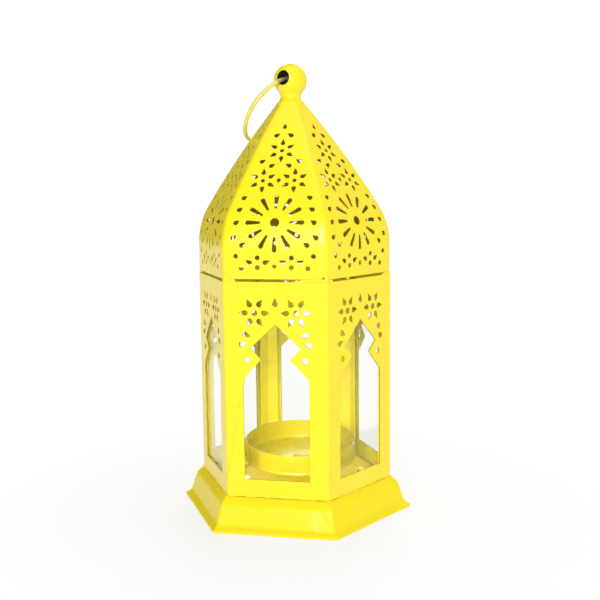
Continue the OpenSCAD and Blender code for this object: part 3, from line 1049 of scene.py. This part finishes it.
def build_cup():
    """The drawn cup: a sunk seat for the rivet, a ridge round its floor, a full foot and a cut rim."""
    inside_r = CUP_R - CUP_SHEET
    shank_r = 2.1
    outer = [
        (shank_r, -SEAT_DROP), (SEAT_R + 0.05, -SEAT_DROP), (SEAT_R + 0.2, -0.12), (SEAT_R + 0.5, 0),
        (14, 0), (CUP_R - 1.0, 0), (CUP_R - 0.3, 0.08), (CUP_R + 0.18, 0.25), (CUP_R + 0.33, 0.55),
        (CUP_R + 0.28, 0.85), (CUP_R + 0.05, 1.2), (CUP_R - 0.02, 1.7), (CUP_R, 4.5),
        (CUP_R, CUP_H - 0.35), (CUP_R - 0.04, CUP_H - 0.12), (CUP_R - 0.16, CUP_H - 0.01),
    ]
    inner = [
        (CUP_R - 0.44, CUP_H - 0.01), (CUP_R - 0.56, CUP_H - 0.12), (inside_r, CUP_H - 0.35),
        (inside_r, 4.5), (inside_r, 1.6), (inside_r - 0.12, 1.05), (inside_r - 0.45, 0.72),
        (inside_r - 1.0, CUP_SHEET), (17, CUP_SHEET), (16.6, CUP_SHEET + 0.12), (16.2, CUP_SHEET),
        (8, CUP_SHEET), (SEAT_R + 0.35, CUP_SHEET), (SEAT_R + 0.1, CUP_SHEET - 0.12),
        (SEAT_R - 0.1, CUP_SHEET - SEAT_DROP), (shank_r, CUP_SHEET - SEAT_DROP),
    ]
    bm = lathe(outer + inner, 128)
    # The cut rim takes the edge enamel: thin paint, darkened as painted shade.
    rim = CUP_H - 0.2
    for face in bm.faces:
        if min(v.co.z for v in face.verts) > rim:
            face.material_index = 1
    for v in bm.verts:
        if v.co.z > 2:
            a = math.atan2(v.co.y, v.co.x)
            wave = noise.noise(Vector((math.cos(a) * 1.6, math.sin(a) * 1.6, v.co.z / 12)))
            push = 0.09 * wave * v.co.z / CUP_H
            v.co.x *= 1 + push / CUP_R
            v.co.y *= 1 + push / CUP_R
    bm.transform(cup_place)
    make_object("cup", bm, HOLDER, [shaded_holder_enamel, thin_and_shaded_edge_enamel], ["candle_cup"], 40)


def build_rivet():
    """The rivet through cup and boss: a low domed head in the seat and a flat one below."""
    head, shank, rise = 3.6, 2.0, 1.1
    seat = CUP_SHEET - SEAT_DROP
    dome_r = (head ** 2 + rise ** 2) / (2 * rise)
    top = arc((0, seat + rise - dome_r), dome_r, math.degrees(math.acos(head / dome_r)) + 2, 90, 9)
    profile = [
        (0, -2.6), (head - 0.3, -2.6), (head, -2.4), (head, -2.1), (head - 0.2, -1.9),
        (shank, -1.9), (shank, seat), (head - 0.1, seat),
    ] + top
    bm = lathe(profile, 48, closed=False)
    for v in bm.verts:
        v.co += 0.05 * Vector((noise.noise(v.co * 0.9), noise.noise(v.co * 0.9 + Vector((9, 0, 0))), 0))
    bm.transform(cup_place)
    make_object("rivet", bm, HOLDER, [shaded_holder_enamel], ["cup_rivet"], 40)


def build_lock():
    """The lock plate, drawn up to a boss that carries the cup."""
    low = node_box("lock_plate")[0].z
    plate_r, plate_t, boss_r, hole_r = 33, LOCK_SHEET, 8, 2.5
    under_r = boss_r - plate_t
    plate_top = low + plate_t
    boss_top = CUP_FLOOR_Z - 0.65
    profile = [
        (under_r + 0.5, low), (plate_r - 0.3, low), (plate_r - 0.05, low + 0.15), (plate_r, low + 0.4),
        (plate_r - 0.05, plate_top - 0.15), (plate_r - 0.3, plate_top), (boss_r + 1.2, plate_top),
        (boss_r + 0.35, plate_top + 0.2), (boss_r, plate_top + 0.9), (boss_r, boss_top - 1.2),
        (boss_r - 0.3, boss_top - 0.4), (boss_r - 1.1, boss_top), (hole_r + 0.2, boss_top),
        (hole_r, boss_top - 0.15), (hole_r, boss_top - plate_t), (under_r - 0.9, boss_top - plate_t),
        (under_r - 0.1, boss_top - plate_t - 0.6), (under_r, boss_top - plate_t - 1.4), (under_r, low + 0.5),
    ]
    bm = lathe(profile, 128)
    bmesh.ops.translate(bm, vec=(holder_at.x, holder_at.y, 0), verts=bm.verts)
    make_object("lock", bm, PLATE, [floor_enamel], ["lock_plate"], 40)


def build_lugs():
    """The two lugs, which stand up through the floor's notches and hook over its top."""
    stem, reach, width, thickness = 26.4, 30.2, 4, LOCK_SHEET
    foot = node_box("lock_plate")[0].z + LOCK_SHEET
    under = wall_foot + 0.4
    over = under + thickness
    section = [
        (stem, foot), (stem, under - 0.35), (stem + 0.12, under - 0.1), (stem + 0.4, under),
        (reach - 0.35, under), (reach - 0.05, under + 0.15), (reach, under + 0.4),
        (reach - 0.05, under + 0.65), (reach - 0.35, over), (stem + 0.1, over), (stem - 0.45, over - 0.15),
        (stem - 0.72, over - 0.5), (stem - thickness, under - 0.1), (stem - thickness, foot),
    ]
    upright = Matrix(((1, 0, 0, 0), (0, 0, 1, width / 2), (0, 1, 0, 0), (0, 0, 0, 1)))
    bm = bmesh.new()
    for lug in LUG_ANGLES:
        part = flat_sheet(section, [], width, 0.12)
        part.transform(upright)
        append_mesh(bm, part, Matrix.Rotation(math.radians(lug), 4, "Z"))
    bmesh.ops.translate(bm, vec=(holder_at.x, holder_at.y, 0), verts=bm.verts)
    make_object("lugs", bm, PLATE, [lit_lug_enamel], ["lock_lugs"], 40)


build_walls()
build_petals()
build_base()
seam_beads()
slit_fill()
build_finial()
build_ring()
build_panes()
build_strips()
build_floor()
build_cup()
build_rivet()
build_lock()
build_lugs()


# ---- Studio: pale floor, white surroundings, soft lights

def build_studio_floor():
    """A pale floor that takes the lantern's shadow and fades to white around it."""
    bm = bmesh.new()
    bmesh.ops.create_circle(bm, cap_ends=True, segments=96, radius=2.5)
    obj = new_object("studio_floor", new_mesh("studio_floor", bm))
    obj.location.z = -0.00005
    material, tree, shader = new_material("studio_floor")
    set_inputs(tree, shader, {"Base Color": (0.86, 0.86, 0.86), "Roughness": 0.6, "Specular IOR Level": 0.2})
    white = tree.nodes.new("ShaderNodeEmission")
    set_inputs(tree, white, {"Color": (1, 1, 1), "Strength": 1})
    away = add_vector_math(tree, "LENGTH", object_coordinates(tree))
    fade = add_range(tree, away, 0.055, 0.15, 0.7, 1.0)
    add_shader_mix(tree, fade, shader.outputs["BSDF"], white.outputs["Emission"])
    obj.data.materials.append(material)


def add_area(name, place, size, power, colour=(1, 1, 1), target=(0, 0, 0.1)):
    data = bpy.data.lights.new(name, "AREA")
    data.shape = "RECTANGLE"
    data.size, data.size_y = size
    data.energy = power
    data.color = colour
    obj = new_object(name, data)
    obj.location = place
    aim = Vector(target) - Vector(place)
    obj.rotation_euler = aim.to_track_quat("-Z", "Y").to_euler()
    return obj


def build_lights():
    add_area("key", (0.08, -1.27, 0.5), (0.5, 0.5), 9.6)
    add_area("top", (0.1, -0.1, 1.1), (0.9, 0.9), 2)
    add_area("back", (-0.1, 1.2, 0.6), (0.8, 0.8), 7.5)
    add_area("glint_left", (-0.33, -0.95, 0.24), (0.02, 0.05), 0.5)
    add_area("glint_right", (-0.07, -1.0, 0.24), (0.02, 0.05), 0.5)
    # Two faint fills inside, over the cup and under it, which face down
    warm = (1, 0.98, 0.9)
    over_cup = add_area("inner_light", (0, 0, 0.086), (0.06, 0.06), 0.006, warm, (0, 0, 0))
    under_at, under_target = (0.002, 0.001, 0.0198), (0.002, 0.001, 0)
    under_cup = add_area("under_cup", under_at, (0.05, 0.05), 0.0045, warm, under_target)
    for light in (over_cup, under_cup):
        light.data.use_shadow = False
        light.visible_camera = False
        light.visible_glossy = False
        light.visible_transmission = False


def build_world():
    """White where it is seen directly or through glass, and shaded where it lights the lantern."""
    world = bpy.data.worlds.new("studio")
    bpy.context.scene.world = world
    world.use_nodes = True
    tree = world.node_tree
    background = tree.nodes["Background"]
    coordinates = tree.nodes.new("ShaderNodeTexCoord").outputs["Generated"]

    def facing(towards, low, high, at_low, at_high):
        dot = add_vector_math(tree, "DOT_PRODUCT", coordinates, Vector(towards).normalized())
        return add_range(tree, dot, low, high, at_low, at_high)

    behind = facing((0, 1, 0), -0.25, 0.35, 0.62, 0.60)
    left = facing((-0.9, -0.4, 0), 0.0, 0.75, 1.0, 0.20)
    behind_left = facing((-0.75, 0.65, 0.25), 0.45, 0.9, 1.0, 0.35)
    shade = add_math(tree, "MULTIPLY", add_math(tree, "MULTIPLY", behind, left), behind_left)
    grey = tree.nodes.new("ShaderNodeCombineColor")
    set_inputs(tree, grey, {0: shade, 1: shade, 2: shade})
    path = tree.nodes.new("ShaderNodeLightPath")
    seen = add_math(tree, "MAXIMUM", path.outputs["Is Camera Ray"], path.outputs["Is Transmission Ray"])
    set_inputs(tree, background, {"Color": add_mix(tree, seen, grey.outputs[0], (1, 1, 1)), "Strength": 1})


def build_camera():
    azimuth, distance, height = 0.2013, 0.4265, 0.1518
    yaw, pitch, roll = azimuth - math.radians(0.42), math.radians(7.47), math.radians(-0.64)
    forward = Vector((-math.sin(yaw) * math.cos(pitch), math.cos(yaw) * math.cos(pitch), -math.sin(pitch)))
    level = Vector((math.cos(yaw), math.sin(yaw), 0))
    upright = level.cross(forward)
    right = math.cos(roll) * level + math.sin(roll) * upright
    up = math.cos(roll) * upright - math.sin(roll) * level
    data = bpy.data.cameras.new("camera")
    data.lens = 55.8
    data.sensor_width = 36
    data.clip_start = 0.01
    data.clip_end = 20
    obj = new_object("camera", data)
    place = Vector((math.sin(azimuth) * distance, -math.cos(azimuth) * distance, height))
    obj.matrix_world = Matrix((
        (right.x, up.x, -forward.x, place.x),
        (right.y, up.y, -forward.y, place.y),
        (right.z, up.z, -forward.z, place.z),
        (0, 0, 0, 1),
    ))
    bpy.context.scene.camera = obj


build_studio_floor()
build_world()
build_camera()
build_lights()

scene = bpy.context.scene
scene.view_settings.view_transform = "Standard"
scene.view_settings.look = "None"
